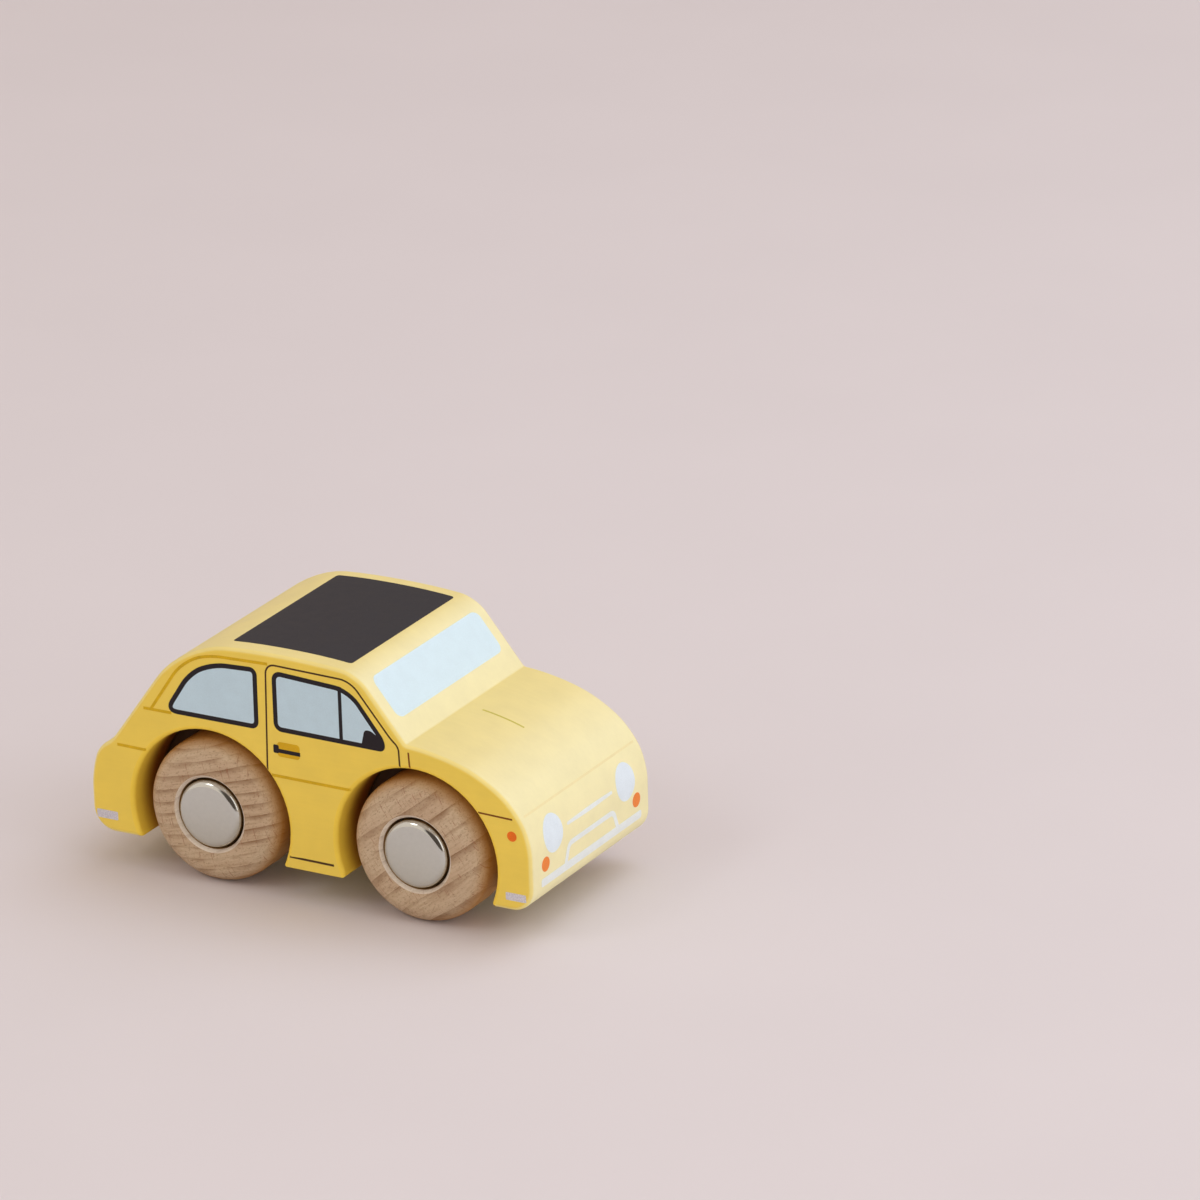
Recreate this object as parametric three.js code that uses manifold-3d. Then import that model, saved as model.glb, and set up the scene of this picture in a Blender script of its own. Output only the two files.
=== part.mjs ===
// Wooden toy car: a painted beech block that rolls on two steel axles. Each axle carries two turned
// beech wheels, held by capped push-on fasteners. Millimetres, +X forward, +Y left, +Z up.
// The origin is on the floor, under the middle of the car's length and width.
import * as THREE from 'three';
import { mergeVertices } from 'three/addons/utils/BufferGeometryUtils.js';
import Module from 'manifold-3d';

// Wheels
const WHEEL_DIAMETER = 30;
const WHEEL_THICKNESS = 11.5;
const RIM_ROUND = 4;
const BACK_ROUND = 2.5;
const RECESS_DEPTH = 4.3;
const RECESS_CHAMFER = 0.6;
const WHEEL_PROUD = 0.5;

// Axles and their capped push-on fasteners
const AXLE_DIAMETER = 6;
const AXLE_CHAMFER = 0.5;
const TOOTH_LENGTH = 1.6;
const TOOTH_COUNT = 6;
const TOOTH_LIFT = 1.1;
const TOOTH_SHARE = 0.6;
const SLOT_START = 0.7;
const SLOT_END = 0.9;
const WASHER_RING = 1.95;
const WASHER_THICKNESS = 0.45;
const CAP_WALL = 0.45;
const CAP_LIP = 1.1;
const CAP_ROUND = 1.2;
const CAP_CROWN = 0.25;
const CAP_PROUD = 0.7;

// Clearances
const RUNNING_CLEARANCE = 0.1;
const GRIP_CLEARANCE = 0.1;
const SEAT_CLEARANCE = 0.15;
const RECESS_CLEARANCE = 0.5;
const CAP_LIFT = 0.3;
const AXLE_END_CLEARANCE = 0.5;
const WHEEL_PLAY = 0.6;
const ARCH_GAP = 3;
const ARCH_DROP = 0.5;

// Body block, along the car from the tail
const REAR_WING = 10;
const SILL_LENGTH = 11;
const FRONT_WING = 8;
const BOOT_LENGTH = 5.2;
const BACKLIGHT_RUN = 17.4;
const WINDSCREEN_RUN = 10.3;
const BONNET_LENGTH = 27.6;

// Body block, heights, width and edges
const BODY_WIDTH = 47;
const GROUND_CLEARANCE = 6.8;
const ARCH_COVER = 5;
const CABIN_RISE = 13.2;
const ROOF_CROWN = 0.9;
const BOOT_DROP = 10.9;
const NOSE_FLAT = 5.6;
const TAIL_FLAT = 2.6;
const NOSE_PULL = 9.5;
const BONNET_PULL = 18;
const BONNET_SLOPE = 0.08;
const CORNER_RUN = 4.5;
const CORNER_RISE = 5.6;
const COWL_BLEND = 1;
const HEADER_BLEND = 3.6;
const TAIL_BLEND = 10;
const BOOT_SHOULDER = 2.9;
const BOOT_BLEND = 1.5;
const EDGE_ROUND = 1.2;
const ARCH_LIP = 0.6;
const POCKET_ROUND = 1;

// Facets of the round pieces
const WHEEL_SIDES = 40;
const AXLE_SIDES = 24;
const CAP_SIDES = 24;
const ROUND_STEPS = 3;
const OUTLINE_STEPS = 8;

// Places that follow from the sizes above
const WHEEL_RADIUS = WHEEL_DIAMETER / 2;
const AXLE_RADIUS = AXLE_DIAMETER / 2;
const BORE_RADIUS = AXLE_RADIUS + RUNNING_CLEARANCE;
const WHEEL_FACE = BODY_WIDTH / 2 + WHEEL_PROUD;
const RECESS_FLOOR = WHEEL_FACE - RECESS_DEPTH;
const POCKET_FLOOR = WHEEL_FACE - WHEEL_THICKNESS - WHEEL_PLAY;
const TOOTH_TIP = AXLE_RADIUS + GRIP_CLEARANCE;
const TOOTH_ROOT = TOOTH_TIP + TOOTH_LENGTH;
const WASHER_RADIUS = TOOTH_ROOT + WASHER_RING;
const CAP_BORE = WASHER_RADIUS + SEAT_CLEARANCE;
const CAP_RADIUS = CAP_BORE + CAP_WALL;
const CAP_FOOT = RECESS_FLOOR + CAP_LIFT;
const CAP_TOP = WHEEL_FACE + CAP_PROUD;
const WASHER_SEAT = CAP_FOOT + CAP_WALL + SEAT_CLEARANCE;
const AXLE_HALF = CAP_TOP - CAP_WALL - AXLE_END_CLEARANCE;
const RECESS_RADIUS = CAP_RADIUS + RECESS_CLEARANCE;
const ARCH_RADIUS = WHEEL_RADIUS + ARCH_GAP;
const BODY_LENGTH = REAR_WING + SILL_LENGTH + FRONT_WING + 4 * ARCH_RADIUS;
const NOSE_X = BODY_LENGTH / 2;
const TAIL_X = -NOSE_X;
const REAR_AXLE_X = TAIL_X + REAR_WING + ARCH_RADIUS;
const FRONT_AXLE_X = NOSE_X - FRONT_WING - ARCH_RADIUS;
const ARCH_Z = WHEEL_RADIUS - ARCH_DROP;
const BONNET_Z = ARCH_Z + ARCH_RADIUS + ARCH_COVER;
const ROOF_Z = BONNET_Z + CABIN_RISE;

const wasm = await Module();
wasm.setup();

// Leaves one vertex at each place, as a closed body needs
function weld(geometry) {
  geometry.deleteAttribute('normal');
  geometry.deleteAttribute('uv');
  return mergeVertices(geometry);
}

function toSolid(geometry) {
  const welded = weld(geometry);
  const corners = welded.index.array;
  const triVerts = [];
  for (let i = 0; i < corners.length; i += 3) {
    const [a, b, c] = corners.subarray(i, i + 3);
    if (a !== b && b !== c && c !== a) triVerts.push(a, b, c);
  }
  return new wasm.Manifold(new wasm.Mesh({
    numProp: 3,
    vertProperties: new Float32Array(welded.attributes.position.array),
    triVerts: new Uint32Array(triVerts),
  }));
}

function toGeometry(solid) {
  const mesh = solid.getMesh();
  const geometry = new THREE.BufferGeometry();
  geometry.setAttribute('position', new THREE.Float32BufferAttribute(mesh.vertProperties, 3));
  geometry.setIndex(new THREE.Uint32BufferAttribute(mesh.triVerts, 1));
  geometry.computeVertexNormals();
  return geometry;
}

// Points of a quarter round from angle start to start plus a quarter turn, in radius and height
function quarter(radius, height, round, start) {
  const points = [];
  for (let i = 0; i <= ROUND_STEPS; i += 1) {
    const angle = start + (i / ROUND_STEPS) * (Math.PI / 2);
    points.push(new THREE.Vector2(radius + round * Math.cos(angle), height + round * Math.sin(angle)));
  }
  return points;
}

// A turned piece whose lowest facet lies level under its axis, true to its radius there
function turned(profile, sides) {
  const toFlats = 1 / Math.cos(Math.PI / sides);
  const points = profile.map((p) => new THREE.Vector2(p.x * toFlats, p.y));
  return new THREE.LatheGeometry(points, sides, Math.PI / sides);
}

// The side view of the block, X forward and Y up
function bodyOutline() {
  const cowlX = NOSE_X - BONNET_LENGTH;
  const headerX = cowlX - WINDSCREEN_RUN;
  const bootX = TAIL_X + BOOT_LENGTH;
  const tailTopX = bootX + BACKLIGHT_RUN;
  const bootZ = BONNET_Z - BOOT_DROP;
  const cornerZ = GROUND_CLEARANCE + CORNER_RISE;
  const cowl = new THREE.Vector2(cowlX, BONNET_Z);
  const header = new THREE.Vector2(headerX, ROOF_Z);
  const tailTop = new THREE.Vector2(tailTopX, ROOF_Z);
  const boot = new THREE.Vector2(bootX, bootZ);
  const shoulder = new THREE.Vector2(TAIL_X, bootZ - BOOT_SHOULDER);
  const onto = (from, to, distance) => to.clone().sub(from).setLength(distance).add(from);
  const screenFoot = onto(cowl, header, COWL_BLEND);
  const screenHead = onto(header, cowl, HEADER_BLEND);
  const slopeHead = onto(tailTop, boot, TAIL_BLEND);
  const slopeFoot = onto(boot, tailTop, BOOT_BLEND);
  const bootHead = onto(boot, shoulder, BOOT_BLEND);
  const outline = new THREE.Shape();
  outline.moveTo(TAIL_X + CORNER_RUN, GROUND_CLEARANCE);
  outline.lineTo(NOSE_X - CORNER_RUN, GROUND_CLEARANCE);
  outline.quadraticCurveTo(NOSE_X, GROUND_CLEARANCE, NOSE_X, cornerZ);
  outline.lineTo(NOSE_X, cornerZ + NOSE_FLAT);
  outline.bezierCurveTo(
    NOSE_X, cornerZ + NOSE_FLAT + NOSE_PULL,
    cowlX + COWL_BLEND + BONNET_PULL, BONNET_Z - BONNET_SLOPE * BONNET_PULL,
    cowlX + COWL_BLEND, BONNET_Z,
  );
  outline.quadraticCurveTo(cowl.x, cowl.y, screenFoot.x, screenFoot.y);
  outline.lineTo(screenHead.x, screenHead.y);
  outline.quadraticCurveTo(header.x, header.y, header.x - HEADER_BLEND, ROOF_Z);
  outline.quadraticCurveTo(
    (header.x + tailTop.x - HEADER_BLEND + TAIL_BLEND) / 2, ROOF_Z + 2 * ROOF_CROWN,
    tailTop.x + TAIL_BLEND, ROOF_Z,
  );
  outline.quadraticCurveTo(tailTop.x, tailTop.y, slopeHead.x, slopeHead.y);
  outline.lineTo(slopeFoot.x, slopeFoot.y);
  outline.quadraticCurveTo(boot.x, boot.y, bootHead.x, bootHead.y);
  outline.quadraticCurveTo(shoulder.x, shoulder.y, TAIL_X, cornerZ + TAIL_FLAT);
  outline.lineTo(TAIL_X, cornerZ);
  outline.quadraticCurveTo(TAIL_X, GROUND_CLEARANCE, TAIL_X + CORNER_RUN, GROUND_CLEARANCE);
  return outline;
}

// A wheel pocket's cutter: a round recess from the side, with a softened floor and mouth
function pocketCutter() {
  const side = BODY_WIDTH / 2;
  const beyond = side + ARCH_LIP;
  return turned([
    new THREE.Vector2(0, POCKET_FLOOR),
    ...quarter(ARCH_RADIUS - POCKET_ROUND, POCKET_FLOOR + POCKET_ROUND, POCKET_ROUND, -Math.PI / 2),
    ...quarter(ARCH_RADIUS + ARCH_LIP, side - ARCH_LIP, ARCH_LIP, Math.PI / 2).reverse(),
    new THREE.Vector2(ARCH_RADIUS + ARCH_LIP, beyond),
    new THREE.Vector2(0, beyond),
  ], WHEEL_SIDES);
}

// The block, sawn to the outline, with its edges rounded over, its wheel pockets and its axle bores
function bodyGeometry() {
  const block = new THREE.ExtrudeGeometry(bodyOutline(), {
    depth: BODY_WIDTH - 2 * EDGE_ROUND,
    curveSegments: OUTLINE_STEPS,
    bevelThickness: EDGE_ROUND,
    bevelSize: EDGE_ROUND,
    bevelOffset: -EDGE_ROUND,
    bevelSegments: ROUND_STEPS,
  });
  block.translate(0, 0, EDGE_ROUND - BODY_WIDTH / 2);
  block.rotateX(Math.PI / 2);
  let body = toSolid(block);
  for (const axleX of [REAR_AXLE_X, FRONT_AXLE_X]) {
    for (const turn of [0, Math.PI]) {
      const pocket = pocketCutter().rotateZ(turn).translate(axleX, 0, ARCH_Z);
      body = body.subtract(toSolid(pocket));
    }
    const bore = turned([
      new THREE.Vector2(0, -BODY_WIDTH / 2),
      new THREE.Vector2(BORE_RADIUS, -BODY_WIDTH / 2),
      new THREE.Vector2(BORE_RADIUS, BODY_WIDTH / 2),
      new THREE.Vector2(0, BODY_WIDTH / 2),
    ], AXLE_SIDES).translate(axleX, 0, WHEEL_RADIUS);
    body = body.subtract(toSolid(bore));
  }
  return toGeometry(body);
}

function axleGeometry() {
  return turned([
    new THREE.Vector2(0, -AXLE_HALF),
    new THREE.Vector2(AXLE_RADIUS - AXLE_CHAMFER, -AXLE_HALF),
    new THREE.Vector2(AXLE_RADIUS, AXLE_CHAMFER - AXLE_HALF),
    new THREE.Vector2(AXLE_RADIUS, AXLE_HALF - AXLE_CHAMFER),
    new THREE.Vector2(AXLE_RADIUS - AXLE_CHAMFER, AXLE_HALF),
    new THREE.Vector2(0, AXLE_HALF),
  ], AXLE_SIDES);
}

// A left wheel: bore, recess for the cap, and a rim that is rounder outside than inside
function wheelGeometry() {
  const back = WHEEL_FACE - WHEEL_THICKNESS;
  const boreBack = new THREE.Vector2(BORE_RADIUS, back);
  return turned([
    boreBack,
    ...quarter(WHEEL_RADIUS - BACK_ROUND, back + BACK_ROUND, BACK_ROUND, -Math.PI / 2),
    ...quarter(WHEEL_RADIUS - RIM_ROUND, WHEEL_FACE - RIM_ROUND, RIM_ROUND, 0),
    new THREE.Vector2(RECESS_RADIUS + RECESS_CHAMFER, WHEEL_FACE),
    new THREE.Vector2(RECESS_RADIUS, WHEEL_FACE - RECESS_CHAMFER),
    new THREE.Vector2(RECESS_RADIUS, RECESS_FLOOR),
    new THREE.Vector2(BORE_RADIUS, RECESS_FLOOR),
    boreBack,
  ], WHEEL_SIDES);
}

// A left hub cap: a pressed cup whose lip is crimped under the washer
function capGeometry() {
  const shoulder = CAP_TOP - CAP_CROWN - CAP_ROUND;
  return turned([
    new THREE.Vector2(0, CAP_TOP - CAP_WALL),
    new THREE.Vector2(CAP_RADIUS - CAP_ROUND, CAP_TOP - CAP_CROWN - CAP_WALL),
    new THREE.Vector2(CAP_BORE, shoulder),
    new THREE.Vector2(CAP_BORE, CAP_FOOT + CAP_WALL),
    new THREE.Vector2(CAP_BORE - CAP_LIP, CAP_FOOT + CAP_WALL),
    new THREE.Vector2(CAP_BORE - CAP_LIP, CAP_FOOT),
    new THREE.Vector2(CAP_RADIUS, CAP_FOOT),
    ...quarter(CAP_RADIUS - CAP_ROUND, shoulder, CAP_ROUND, 0),
    new THREE.Vector2(0, CAP_TOP),
  ], CAP_SIDES);
}

// A left push-on washer: a flat ring with teeth that lean outwards and grip the axle
function washerGeometry() {
  const ring = new THREE.Shape();
  ring.absarc(0, 0, WASHER_RADIUS, 0, 2 * Math.PI);
  const teeth = new THREE.Path();
  const pitch = (2 * Math.PI) / TOOTH_COUNT;
  for (let i = 0; i < TOOTH_COUNT; i += 1) {
    const start = i * pitch;
    teeth.absarc(0, 0, TOOTH_TIP, start, start + pitch * TOOTH_SHARE);
    teeth.absarc(0, 0, TOOTH_ROOT, start + pitch * SLOT_START, start + pitch * SLOT_END);
  }
  teeth.closePath();
  ring.holes.push(teeth);
  const washer = new THREE.ExtrudeGeometry(ring, {
    depth: WASHER_THICKNESS,
    curveSegments: ROUND_STEPS,
    bevelEnabled: false,
  });
  const places = washer.attributes.position;
  for (let i = 0; i < places.count; i += 1) {
    const reach = TOOTH_ROOT - Math.hypot(places.getX(i), places.getY(i));
    const lift = (TOOTH_LIFT * Math.max(0, reach)) / TOOTH_LENGTH;
    places.setZ(i, places.getZ(i) + lift);
  }
  return washer.rotateX(-Math.PI / 2).translate(0, WASHER_SEAT, 0);
}

function piece(name, geometry, color, roughness, metalness) {
  const material = new THREE.MeshStandardMaterial({ color, roughness, metalness });
  const mesh = new THREE.Mesh(weld(geometry), material);
  mesh.name = name;
  return mesh;
}

// The two wheels of an axle are alike: the right one is the left one turned about the upright
function wheelSet(end, side) {
  const set = new THREE.Group();
  set.rotation.z = side === 'left' ? 0 : Math.PI;
  set.add(piece(`${end}_${side}_wheel`, wheelGeometry(), 0xc6a078, 0.65, 0));
  set.add(piece(`${end}_${side}_hub_cap`, capGeometry(), 0xc9c6c0, 0.25, 1));
  set.add(piece(`${end}_${side}_push_washer`, washerGeometry(), 0x6f6d6a, 0.4, 1));
  return set;
}

function axleSet(end, axleX) {
  const set = new THREE.Group();
  set.position.set(axleX, 0, WHEEL_RADIUS);
  set.add(piece(`${end}_axle`, axleGeometry(), 0xa8a6a2, 0.35, 1));
  set.add(wheelSet(end, 'left'));
  set.add(wheelSet(end, 'right'));
  return set;
}

const car = new THREE.Group();
car.add(piece('body_block', bodyGeometry(), 0xebcb5c, 0.55, 0));
car.add(axleSet('rear', REAR_AXLE_X));
car.add(axleSet('front', FRONT_AXLE_X));

export default car;
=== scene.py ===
# %% [markdown]
# This lesson dresses a small wooden toy car. The CAD solids come in first and stay as the frame:
# +X is the nose, +Y the car's left side, +Z is up, and the wheels stand on the floor at z = 0.

# %% Load the imported solids
import math

import bmesh
import bpy
from mathutils import Matrix, Vector
from mathutils.bvhtree import BVHTree


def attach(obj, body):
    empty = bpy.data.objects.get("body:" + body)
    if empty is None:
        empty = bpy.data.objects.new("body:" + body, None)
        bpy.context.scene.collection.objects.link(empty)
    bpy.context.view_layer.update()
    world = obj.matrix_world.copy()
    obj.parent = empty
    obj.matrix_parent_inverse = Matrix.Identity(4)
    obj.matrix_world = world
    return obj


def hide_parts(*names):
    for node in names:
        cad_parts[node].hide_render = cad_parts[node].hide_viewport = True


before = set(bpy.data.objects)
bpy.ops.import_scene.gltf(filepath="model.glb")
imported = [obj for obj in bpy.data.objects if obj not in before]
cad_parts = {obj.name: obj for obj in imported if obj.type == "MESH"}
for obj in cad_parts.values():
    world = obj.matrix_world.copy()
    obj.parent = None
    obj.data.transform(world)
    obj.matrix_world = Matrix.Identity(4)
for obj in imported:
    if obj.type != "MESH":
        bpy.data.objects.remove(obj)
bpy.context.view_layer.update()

MM = 0.001

# %% [markdown]
# Every finish is built from nodes. Colours are written as the sRGB hex values a painter would
# read off a chart, and one function turns them into the linear numbers that the sockets take.
# One more adds a node with its settings, its fixed inputs and its links, and the last feeds the
# shader. Noise textures mostly give values from 0.3 to 0.7, so that span is named once.

# %% Colour and node helpers
NOISE_SPAN = {"From Min": 0.3, "From Max": 0.7}


def linear(hex_text):
    """Linear RGBA of an sRGB hex colour."""
    parts = [int(hex_text[i:i + 2], 16) / 255 for i in (1, 3, 5)]
    return [p / 12.92 if p <= 0.04045 else ((p + 0.055) / 1.055) ** 2.4 for p in parts] + [1.0]


def add(finish, kind, links=None, inputs=None, **settings):
    """Adds a node to a finish and returns it."""
    tree = finish.node_tree
    made = tree.nodes.new(kind)
    for name, value in settings.items():
        setattr(made, name, value)
    for socket, value in (inputs or {}).items():
        made.inputs[socket].default_value = value
    for socket, source in (links or {}).items():
        tree.links.new(source, made.inputs[socket])
    return made


def new_finish(name, **inputs):
    """A node material and its shader, with the shader's fixed numbers set on its own sockets."""
    finish = bpy.data.materials.new(name)
    finish.use_nodes = True
    shader = finish.node_tree.nodes["Principled BSDF"]
    for socket, value in inputs.items():
        shader.inputs[socket.replace("_", " ")].default_value = value
    return finish, shader


def feed(finish, shader, **sources):
    """Links node outputs to the shader's sockets."""
    for socket, source in sources.items():
        finish.node_tree.links.new(source, shader.inputs[socket.replace("_", " ")])


print("1 mm pattern has scale", 1 / MM)

# %% [markdown]
# The block is beech under a sprayed satin paint. The paint is thin, so the long pores of the
# wood still show through it as faint lines along the car. The paint is one golden yellow, as on
# the sides; the paler bonnet and roof and the palest nose are painted light, and the bright lemon
# of the soft edges between is a painted highlight. A colour that follows the surface's own
# direction does this: the Normal output of Texture Coordinate is the direction in the car's frame,
# so the tones stay on the car from every view. In the wheel pockets the paint turns brown with
# depth, as painted shade, and bright near the mouth, as painted light.

# %% Sprayed satin paint on beech, with painted light and shade
PORE_LONG, PORE_ACROSS = 14 * MM, 0.9 * MM
SPRAY_MOTTLE = 6 * MM


def sprayed_paint(name, first_tone, changes):
    """Satin paint: a low sheen, cloudy by a few per cent, with wood pores under it.
    Each change is (coordinate, axis, both ways, start, end, tone): the tone comes in along the
    axis from start to end, and in both directions of the axis if asked."""
    finish, shader = new_finish(name, IOR=1.5, Metallic=0.0, Specular_IOR_Level=0.4)
    places = add(finish, "ShaderNodeTexCoord")
    tone = None
    for coordinate, axis, both_ways, start, end, next_tone in changes:
        split = add(finish, "ShaderNodeSeparateXYZ", {"Vector": places.outputs[coordinate]})
        reach = split.outputs[axis]
        if both_ways:
            reach = add(finish, "ShaderNodeMath", {0: reach}, operation="ABSOLUTE").outputs[0]
        share = add(finish, "ShaderNodeMapRange", {"Value": reach},
                    {"From Min": start, "From Max": end}, interpolation_type="SMOOTHSTEP")
        links = {"Factor": share.outputs[0]}
        if tone:
            links["A"] = tone.outputs["Result"]
        tone = add(finish, "ShaderNodeMix", links,
                   {"A": linear(first_tone), "B": linear(next_tone)}, data_type="RGBA")
    clouds = add(finish, "ShaderNodeTexNoise", {"Vector": places.outputs["Object"]},
                 {"Scale": 1 / SPRAY_MOTTLE, "Detail": 3.0})
    cloud_level = add(finish, "ShaderNodeMapRange", {"Value": clouds.outputs["Fac"]},
                      {**NOISE_SPAN, "To Min": 0.965, "To Max": 1.02})
    along = add(finish, "ShaderNodeMapping", {"Vector": places.outputs["Object"]},
                {"Scale": (1 / PORE_LONG, 1 / PORE_ACROSS, 1 / PORE_ACROSS)})
    pores = add(finish, "ShaderNodeTexNoise", {"Vector": along.outputs[0]},
                {"Scale": 1.0, "Detail": 4.0, "Roughness": 0.6})
    pore_level = add(finish, "ShaderNodeMapRange", {"Value": pores.outputs["Fac"]},
                     {**NOISE_SPAN, "To Min": 0.985, "To Max": 1.01})
    level = add(finish, "ShaderNodeMath",
                {0: cloud_level.outputs[0], 1: pore_level.outputs[0]}, operation="MULTIPLY")
    paint = add(finish, "ShaderNodeVectorMath",
                {0: tone.outputs["Result"], "Scale": level.outputs[0]}, operation="SCALE")
    gloss = add(finish, "ShaderNodeMapRange", {"Value": clouds.outputs["Fac"]},
                {**NOISE_SPAN, "To Min": 0.46, "To Max": 0.56})
    relief = add(finish, "ShaderNodeBump", {"Height": pores.outputs["Fac"]},
                 {"Strength": 0.25, "Distance": 0.03 * MM})
    feed(finish, shader, Base_Color=paint.outputs[0], Roughness=gloss.outputs[0],
         Normal=relief.outputs[0])
    return finish


# Pale tops, the palest nose and the lemon edges are painted light; the golden side is the paint.
skin_paint_with_painted_light = sprayed_paint("satin_yellow_paint_with_painted_light", "#EFE097",
                           [("Normal", "X", False, 0.1, 0.75, "#F5EEBA"),
                            ("Normal", "Y", True, 0.2, 0.65, "#FBE88E"),
                            ("Normal", "Y", True, 0.84, 0.99, "#FADB5A")])
# The pocket tones darken to brown with depth as painted shade, bright at the mouth as painted
# light.
pocket_paint_with_painted_shade = sprayed_paint("yellow_paint_with_painted_pocket_shade", "#4E2E0E",
                             [("Object", "Y", True, 12 * MM, 14 * MM, "#B0661E"),
                              ("Object", "Y", True, 15 * MM, 21.5 * MM, "#FFDC4C")])
print("paints:", skin_paint_with_painted_light.name, pocket_paint_with_painted_shade.name)

# %% [markdown]
# The windows, lines and lamps are printed on the paint with a UV printer: a thin layer of ink
# that is a little grainy, because it is laid down as fine dots. The dots are drawn about 0.25 mm
# wide, coarser than the real ones, so that they still show. Each ink is one call of a function.

# %% Printed inks
INK_DOT = 0.25 * MM
INK_CLOUD = 2.5 * MM


def printed_ink(name, hex_text, grain=0.05, second=None, sheen=0.5):
    """UV-cured ink: close to matt, its colour broken up by dots and, if wanted, a second ink."""
    finish, shader = new_finish(name, IOR=1.48, Metallic=0.0, Specular_IOR_Level=0.3)
    places = add(finish, "ShaderNodeTexCoord")
    dots = add(finish, "ShaderNodeTexNoise", {"Vector": places.outputs["Object"]},
               {"Scale": 1 / INK_DOT, "Detail": 1.0})
    clouds = add(finish, "ShaderNodeTexNoise", {"Vector": places.outputs["Object"]},
                 {"Scale": 1 / INK_CLOUD, "Detail": 2.0})
    mixed = add(finish, "ShaderNodeMapRange", {"Value": dots.outputs["Fac"]},
                {"From Min": 0.46, "From Max": 0.54})
    ink = add(finish, "ShaderNodeMix", {"Factor": mixed.outputs[0]},
              {"A": linear(hex_text), "B": linear(second or hex_text)}, data_type="RGBA")
    level = add(finish, "ShaderNodeMath",
                {0: dots.outputs["Fac"], 1: clouds.outputs["Fac"]}, operation="ADD")
    strength = add(finish, "ShaderNodeMapRange", {"Value": level.outputs[0]},
                   {"From Min": 0.75, "From Max": 1.25, "To Min": 1 - grain, "To Max": 1 + grain})
    colour = add(finish, "ShaderNodeVectorMath",
                 {0: ink.outputs["Result"], "Scale": strength.outputs[0]}, operation="SCALE")
    gloss = add(finish, "ShaderNodeMapRange", {"Value": clouds.outputs["Fac"]},
                {**NOISE_SPAN, "To Min": sheen - 0.05, "To Max": sheen + 0.05})
    feed(finish, shader, Base_Color=colour.outputs[0], Roughness=gloss.outputs[0])
    return finish


INKS = {
    "black": printed_ink("black_outline_ink", "#1D161B", 0.15),
    "brown": printed_ink("brown_line_ink", "#482A10", 0.15),
    "russet": printed_ink("russet_line_ink", "#80460A", 0.15),
    "gold": printed_ink("golden_line_ink", "#E6BA0E", 0.12, "#D0A806"),
    "amber": printed_ink("amber_patch_ink", "#DEB00E", 0.06),
    # The windscreen ink is the side window ink made lighter: painted light for the better-lit
    # slope.
    "side_glass": printed_ink("side_window_ink", "#C8E2EE", 0.03),
    "front_glass": printed_ink("windscreen_ink", "#D9F0F8", 0.02),
    "charcoal": printed_ink("charcoal_roof_ink", "#313034", 0.12, sheen=0.62),
    "trim": printed_ink("speckled_grey_trim_ink", "#E0DEE4", 0.04, "#CBC7D0"),
    "bumper": printed_ink("pale_grey_trim_ink", "#E8F0EE", 0.04),
    "lamp": printed_ink("lamp_glass_ink", "#E2EFF6", 0.03),
    "orange": printed_ink("orange_lamp_ink", "#F27414", 0.06),
    "light_orange": printed_ink("light_orange_lamp_ink", "#F08838", 0.06),
    "red": printed_ink("red_lamp_ink", "#B8261C", 0.08),
    "olive": printed_ink("olive_line_ink", "#CDC24E", 0.1),
    "shade": printed_ink("shade_line_ink", "#F1E6AE", 0.03),
}
print("inks:", len(INKS))

# %% [markdown]
# The wheels are turned from bare beech. Each face shows its growth rings as lines 2.5 or 4.4 mm
# apart, sharp on one edge and soft on the other, a scatter of fine pores, and thin reddish rays
# that run across the rings. A saw-shaped wave texture gives the rings and stretched noise the
# pores and rays. The tread shows end grain, which is darker and warmer, so the tone also follows
# the surface's direction; that darker, warmer tone on the tread and its rounding is also painted
# shade and painted warm light bounced from the yellow pocket. The front and rear wheels came from
# different planks, so each pair has its own turn of the pattern, and the chamfer that is cut last,
# round the cap, is the lightest, partly as fresh-cut wood and partly as a painted highlight.
# The pores are drawn at 0.3 mm, a little coarser than real, to show. A wave texture of scale 1
# repeats every tau / 20 metres, which gives the scale for a wanted ring spacing.

# %% Turned bare beech
WAVE_PERIOD = math.tau / 20
PLANK_LEAN = 0.06
PORE_DOT = 0.3 * MM
RAY_LONG, RAY_ACROSS = 4 * MM, 0.3 * MM
FIBRE_LONG, FIBRE_ACROSS = 6 * MM, 0.5 * MM
CLOUD_LONG, CLOUD_ACROSS = 12 * MM, 4 * MM


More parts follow.
